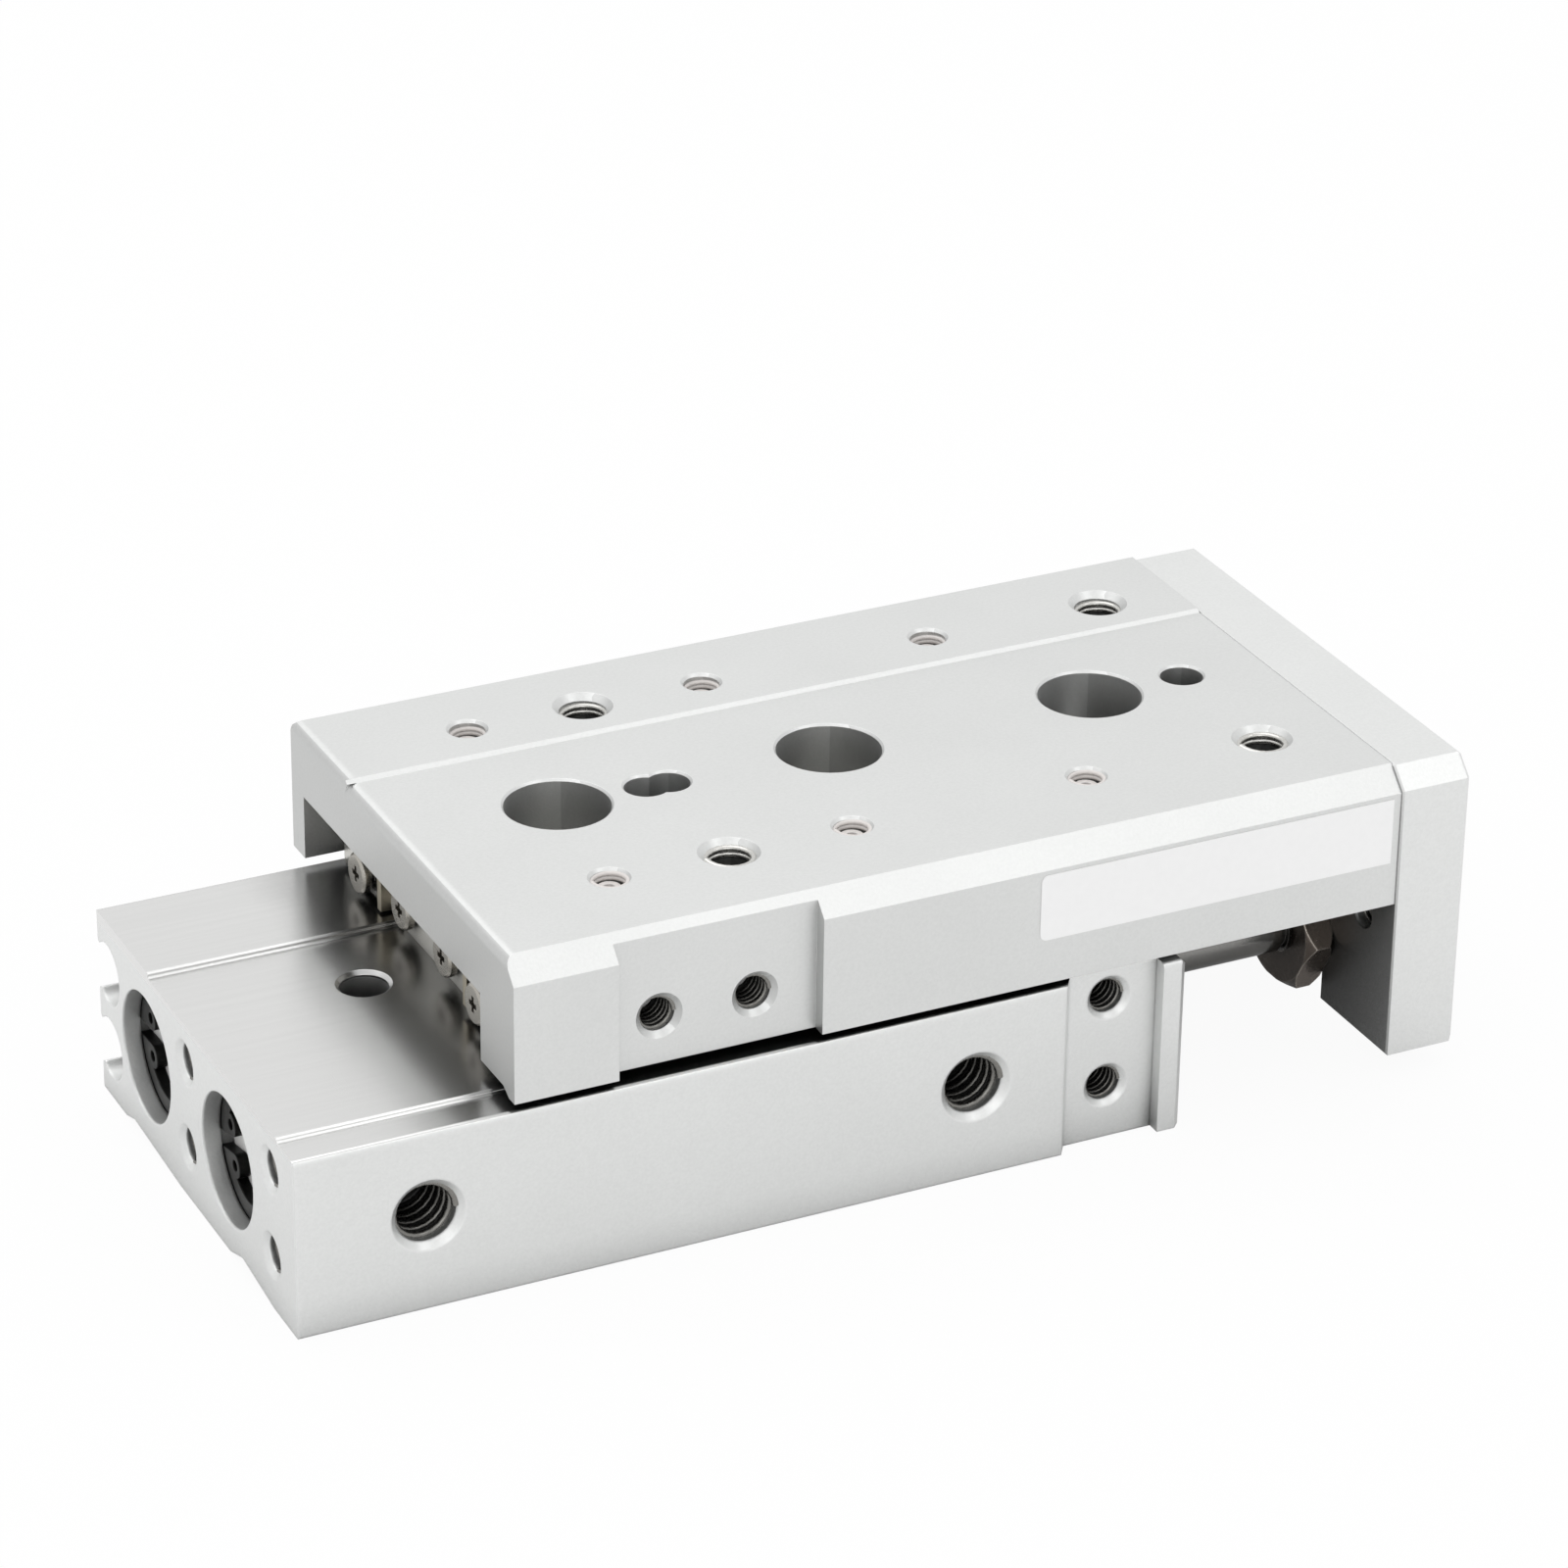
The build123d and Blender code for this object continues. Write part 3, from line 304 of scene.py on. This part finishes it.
def milledBodyMaterial():
    material, tree, skin = satinMetal("anodised extrusion with a milled top", bodyLook)
    output = next(node for node in tree.nodes if node.type == "OUTPUT_MATERIAL")
    coords = addNode(tree, "ShaderNodeTexCoord").outputs["Object"]
    place = addNode(tree, "ShaderNodeSeparateXYZ", None, {0: coords})
    above = addNode(tree, "ShaderNodeMath", {"operation": "GREATER_THAN", 1: deck["startMm"] * mm},
                    {0: place.outputs["Z"]})
    stretch = (1 / (deck["runMm"] * mm), 1 / (deck["lineMm"] * mm), 1 / (deck["runMm"] * mm))
    mapping = addNode(tree, "ShaderNodeMapping", {"Scale": stretch}, {"Vector": coords})
    lines = addNode(tree, "ShaderNodeTexNoise", {"Scale": 1.0, "Detail": 3.0}, {"Vector": mapping.outputs[0]})
    colour = addNode(tree, "ShaderNodeMix", {"data_type": "RGBA", 6: linearHex(deck["colour"]),
                                             7: linearHex(deck["shade"])}, {0: lines.outputs["Fac"]})
    rounded = addNode(tree, "ShaderNodeBevel", {"samples": bevelSamples, "Radius": deck["edgeMm"] * mm})
    bump = addNode(tree, "ShaderNodeBump", {"Strength": deck["bump"], "Distance": deck["depthMm"] * mm},
                   {"Height": lines.outputs["Fac"], "Normal": rounded.outputs[0]})
    # the milled top takes painted shade near the guide and under the table
    milled = addNode(tree, "ShaderNodeBsdfPrincipled", {"Metallic": 1.0, "Roughness": deck["rough"]},
                     {"Base Color": paintedShadeInGaps(tree, colour.outputs[2], deck), "Normal": bump.outputs[0]})
    both = addNode(tree, "ShaderNodeMixShader", None,
                   {0: above.outputs[0], 1: skin.outputs[0], 2: milled.outputs[0]})
    tree.links.new(both.outputs[0], output.inputs["Surface"])
    return material


milledBody = milledBodyMaterial()
print("materials made:", len(bpy.data.materials))


# Every node takes the finish of its real counterpart

finishOf = {
    "cylinder_body": milledBody, "rod_cover": anodisedAluminium, "table_plate": tableAluminium,
    "end_plate": plateAluminium, "guide_block": dullSteel, "rail": groundSteel, "head_cap": cappedAluminium,
    "piston": cappedAluminium, "rod_bushing": turnedBrass, "head_ring": blackenedSteel,
    "rod_ring": blackenedSteel, "cap_seal": nitrileRubber, "bushing_seal": nitrileRubber,
    "rod_seal": nitrileRubber, "piston_seal": nitrileRubber, "magnet": ferrite, "piston_rod": polishedRod,
    "rod_nut": brownedSteel, "cage": stampedCage, "rollers": polishedRod, "label": labelFilm,
    "rail_screws": nickelledSteel,
}
for name, piece in nodes.items():
    stem = name.removesuffix("_near").removesuffix("_far")
    piece.data.materials.clear()
    piece.data.materials.append(finishOf.get(name) or finishOf.get(stem) or brightScrew)
print("finishes set")


# Threads of the tapped holes: one turn of ridge after another, on the wall of each hole

# shares are of the radius of the hole
bodyThreads = {"body": "body", "turns": 5.0, "pitchShare": 0.4, "ridgeShare": 0.13, "pathShare": 1.0,
               "metal": threadMetal}
tableThreads = {**bodyThreads, "body": "table", "turns": 2.0, "pitchShare": 0.25, "ridgeShare": 0.14,
                "metal": paleThreadMetal}
sideThreads = {**tableThreads, "turns": 5.0, "pitchShare": 0.36, "ridgeShare": 0.165, "metal": threadMetal}
plateThreads = {**sideThreads, "turns": 11.4}
tipThreads = {**tableThreads, "turns": 2.4, "metal": nickelledSteel}
turnMesh = {"stepsPerTurn": 20, "ridgeSides": 8}

# each row: mount, first step and second step between its holes, distance from the mount to the thread
acrossX, acrossY, acrossZ = Vector((1, 0, 0)), Vector((0, 1, 0)), Vector((0, 0, 1))
bodyTaps = [
    ("port_head", acrossX, acrossY, 0.1),
    ("port_rod", acrossX, acrossY, 0.1),
    ("pad_taps", acrossX, acrossZ, 0.5),
    ("head_taps", acrossY, acrossZ, 0.5),
    ("body_bolts", acrossX, acrossY, 0.7),
    ("body_bolt_middle", acrossX, acrossY, 0.2),
]
tableTaps = [
    ("table_bolts", acrossX, acrossY, 0.3),
]
plateTaps = [
    ("plate_tap", acrossX, acrossY, -2.2),
]
sideTaps = [
    ("stopper_taps", acrossX, acrossZ, 0.5),
]


def tappedHoles(mount, first, second, insetMm):
    # the mouth of every hole of a mount, with the way in and the radius of the thread's core
    dims = mount["dims"]
    radiusMm = dims.get("hole_r_mm") or dims["r_mm"]
    inward = -Vector(mount["axis"])
    middle = Vector(mount["pos_m"]) + inward * insetMm * mm
    shares = {"spacing_x_mm": first, "spacing_y_mm": second}
    places = [middle]
    for key, step in shares.items():
        if key in dims:
            places = [place + step * side * dims[key] * mm / 2 for place in places for side in (-1, 1)]
    return [(place, inward, radiusMm * mm) for place in places]


# the tips of the rail screws show in two rows of threaded holes, in line with the table's larger ones
railTips = {"firstMm": -7.2, "stepMm": 17.5, "count": 3, "coreMm": 1.25, "insetMm": 0.15}


def railTipHoles():
    # the first two of the larger holes give both rows
    near, far = [hole[0].y for hole in tappedHoles(mounts["table_bolts"], acrossX, acrossY, 0.0)[:2]]
    top = mounts["table_bolts"]["pos_m"][2] - railTips["insetMm"] * mm
    holes = []
    for y in (near, far):
        for step in range(railTips["count"]):
            x = (railTips["firstMm"] + railTips["stepMm"] * step) * mm
            holes.append((Vector((x, y, top)), -acrossZ, railTips["coreMm"] * mm))
    return holes


def threadTree(material):
    tree = bpy.data.node_groups.new("thread turns", "GeometryNodeTree")
    tree.interface.new_socket("Geometry", in_out="INPUT", socket_type="NodeSocketGeometry")
    for label in ("Turns", "Pitch share", "Ridge share", "Path share"):
        tree.interface.new_socket(label, in_out="INPUT", socket_type="NodeSocketFloat")
    tree.interface.new_socket("Geometry", in_out="OUTPUT", socket_type="NodeSocketGeometry")
    given = addNode(tree, "NodeGroupInput").outputs
    result = addNode(tree, "NodeGroupOutput")
    height = addNode(tree, "ShaderNodeMath", {"operation": "MULTIPLY"},
                     {0: given["Turns"], 1: given["Pitch share"]})
    spiral = addNode(tree, "GeometryNodeCurveSpiral", {"Resolution": turnMesh["stepsPerTurn"]},
                     {"Rotations": given["Turns"], "Height": height.outputs[0],
                      "Start Radius": given["Path share"], "End Radius": given["Path share"]})
    profile = addNode(tree, "GeometryNodeCurvePrimitiveCircle", {"Resolution": turnMesh["ridgeSides"]},
                      {"Radius": given["Ridge share"]})
    ridge = addNode(tree, "GeometryNodeCurveToMesh", {"Fill Caps": True},
                    {"Curve": spiral.outputs[0], "Profile Curve": profile.outputs[0]})
    way = addNode(tree, "GeometryNodeInputNamedAttribute", {"data_type": "FLOAT_VECTOR", "Name": "inward"})
    size = addNode(tree, "GeometryNodeInputNamedAttribute", {"data_type": "FLOAT", "Name": "coreRadius"})
    turn = addNode(tree, "FunctionNodeAlignRotationToVector", {"axis": "Z"}, {"Vector": way.outputs[0]})
    points = addNode(tree, "GeometryNodeMeshToPoints", None, {"Mesh": given["Geometry"]})
    placed = addNode(tree, "GeometryNodeInstanceOnPoints", None,
                     {"Points": points.outputs[0], "Instance": ridge.outputs[0], "Rotation": turn.outputs[0],
                      "Scale": size.outputs[0]})
    whole = addNode(tree, "GeometryNodeRealizeInstances", None, {"Geometry": placed.outputs[0]})
    painted = addNode(tree, "GeometryNodeSetMaterial", {"Material": material}, {"Geometry": whole.outputs[0]})
    tree.links.new(painted.outputs[0], result.inputs[0])
    return tree


def threadPiece(name, look, holes):
    seeds = bpy.data.meshes.new("thread seeds")
    seeds.from_pydata([hole[0] for hole in holes], [], [])
    seeds.attributes.new("inward", "FLOAT_VECTOR", "POINT")
    seeds.attributes.new("coreRadius", "FLOAT", "POINT")
    for index, (place, way, coreRadius) in enumerate(holes):
        seeds.attributes["inward"].data[index].vector = way
        seeds.attributes["coreRadius"].data[index].value = coreRadius
    seedObject = bpy.data.objects.new("thread seeds", seeds)
    bpy.context.scene.collection.objects.link(seedObject)
    modifier = seedObject.modifiers.new("thread turns", "NODES")
    modifier.node_group = threadTree(look["metal"])
    values = {"Turns": look["turns"], "Pitch share": look["pitchShare"], "Ridge share": look["ridgeShare"],
              "Path share": look["pathShare"]}
    for socket in modifier.node_group.interface.items_tree:
        if socket.in_out == "INPUT" and socket.name in values:
            modifier[socket.identifier] = values[socket.name]
    ready = seedObject.evaluated_get(bpy.context.evaluated_depsgraph_get())
    ridges = bpy.data.meshes.new_from_object(ready)
    bpy.data.objects.remove(seedObject)
    piece = bpy.data.objects.new(name, ridges)
    bpy.context.scene.collection.objects.link(piece)
    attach(piece, look["body"])
    print(name, len(holes), "holes", len(ridges.polygons), "faces")


def holesOf(rows):
    return [hole for mount, first, second, insetMm in rows
            for hole in tappedHoles(mounts[mount], first, second, insetMm)]


threadPiece("threads_body", bodyThreads, holesOf(bodyTaps))
threadPiece("threads_table", tableThreads, holesOf(tableTaps))
threadPiece("threads_side", sideThreads, holesOf(sideTaps))
threadPiece("threads_plate", plateThreads, holesOf(plateTaps))
threadPiece("threads_tips", tipThreads, railTipHoles())


# Camera, as the photo was taken

photoView = {"place": (-0.1444, -0.3135, 0.1984), "forward": (0.3956, 0.7998, -0.4514), "roll": 0.8,
             "lens": 133.69, "sensor": 36, "nearest": 0.01}
camera = bpy.data.objects.new("camera", bpy.data.cameras.new("camera"))
camera.data.lens = photoView["lens"]
camera.data.sensor_width = photoView["sensor"]
camera.data.clip_start = photoView["nearest"]
turn = Vector(photoView["forward"]).to_track_quat("-Z", "Y").to_matrix().to_4x4()
camera.matrix_world = Matrix.Translation(photoView["place"]) @ turn @ Matrix.Rotation(
    math.radians(photoView["roll"]), 4, "Z")
bpy.context.scene.collection.objects.link(camera)
bpy.context.scene.camera = camera


# White card under the part: the camera sees it nearly white, the part sees it lit and shaded

card = {"reach": 3.0, "drop": 0.00005, "ownLight": 0.94, "litForPart": 0.15, "fibreScale": 400.0,
        "dark": "#E2E2E2", "pale": "#E6E6E6"}


def whiteCardMaterial():
    material, tree, output = newMaterial("white card")
    coords = addNode(tree, "ShaderNodeTexCoord").outputs["Object"]
    fibre = addNode(tree, "ShaderNodeTexNoise", {"Scale": card["fibreScale"]}, {"Vector": coords})
    colour = addNode(tree, "ShaderNodeMix", {"data_type": "RGBA", 6: linearHex(card["dark"]),
                                             7: linearHex(card["pale"])}, {0: fibre.outputs["Fac"]})
    paper = addNode(tree, "ShaderNodeBsdfDiffuse", None, {"Color": colour.outputs[2]})
    glow = addNode(tree, "ShaderNodeEmission", {"Color": (1, 1, 1, 1), "Strength": 1.0})
    path = addNode(tree, "ShaderNodeLightPath")
    share = addNode(tree, "ShaderNodeMapRange", {"To Min": card["litForPart"], "To Max": card["ownLight"]},
                    {"Value": path.outputs["Is Camera Ray"]})
    mixed = addNode(tree, "ShaderNodeMixShader", None,
                    {0: share.outputs[0], 1: paper.outputs[0], 2: glow.outputs[0]})
    tree.links.new(mixed.outputs[0], output.inputs["Surface"])
    return material


floorMesh = bpy.data.meshes.new("floor")
reach = card["reach"]
floorMesh.from_pydata([(-reach, -reach, 0), (reach, -reach, 0), (reach, reach, 0), (-reach, reach, 0)], [],
                      [(0, 1, 2, 3)])
floor = bpy.data.objects.new("floor", floorMesh)
floor.location.z = -card["drop"]
bpy.context.scene.collection.objects.link(floor)
floorMesh.materials.append(whiteCardMaterial())


# Soft light: a white tent and three disks

studio = {"tentStrength": 0.9, "aim": (0.01, 0, 0.01), "lamps": [
    # name, place, size in metres, watts
    ("overhead softbox", (-0.15, 0.25, 0.75), 0.9, 2.2),
    ("front fill", (-0.35, -0.8, 0.45), 0.7, 1.1),
    ("chamfer light", (0.38, -0.42, 0.72), 0.3, 0.38),
]}
world = bpy.data.worlds.new("white tent")
bpy.context.scene.world = world
world.use_nodes = True
tent = world.node_tree
tent.nodes.clear()
worldOutput = addNode(tent, "ShaderNodeOutputWorld")
soft = addNode(tent, "ShaderNodeBackground", {"Color": (1, 1, 1, 1), "Strength": studio["tentStrength"]})
white = addNode(tent, "ShaderNodeBackground", {"Color": (1, 1, 1, 1), "Strength": 1.0})
path = addNode(tent, "ShaderNodeLightPath")
both = addNode(tent, "ShaderNodeMixShader", None,
               {0: path.outputs["Is Camera Ray"], 1: soft.outputs[0], 2: white.outputs[0]})
tent.links.new(both.outputs[0], worldOutput.inputs["Surface"])
target = Vector(studio["aim"])
for name, place, size, watts in studio["lamps"]:
    lamp = bpy.data.lights.new(name, "AREA")
    lamp.shape = "DISK"
    lamp.size = size
    lamp.energy = watts
    lampObject = bpy.data.objects.new(name, lamp)
    lampObject.matrix_world = Matrix.Translation(place) @ (target - Vector(place)).to_track_quat(
        "-Z", "Y").to_matrix().to_4x4()
    bpy.context.scene.collection.objects.link(lampObject)
bpy.context.scene.view_settings.view_transform = "Standard"
print("stage, camera and lamps set")
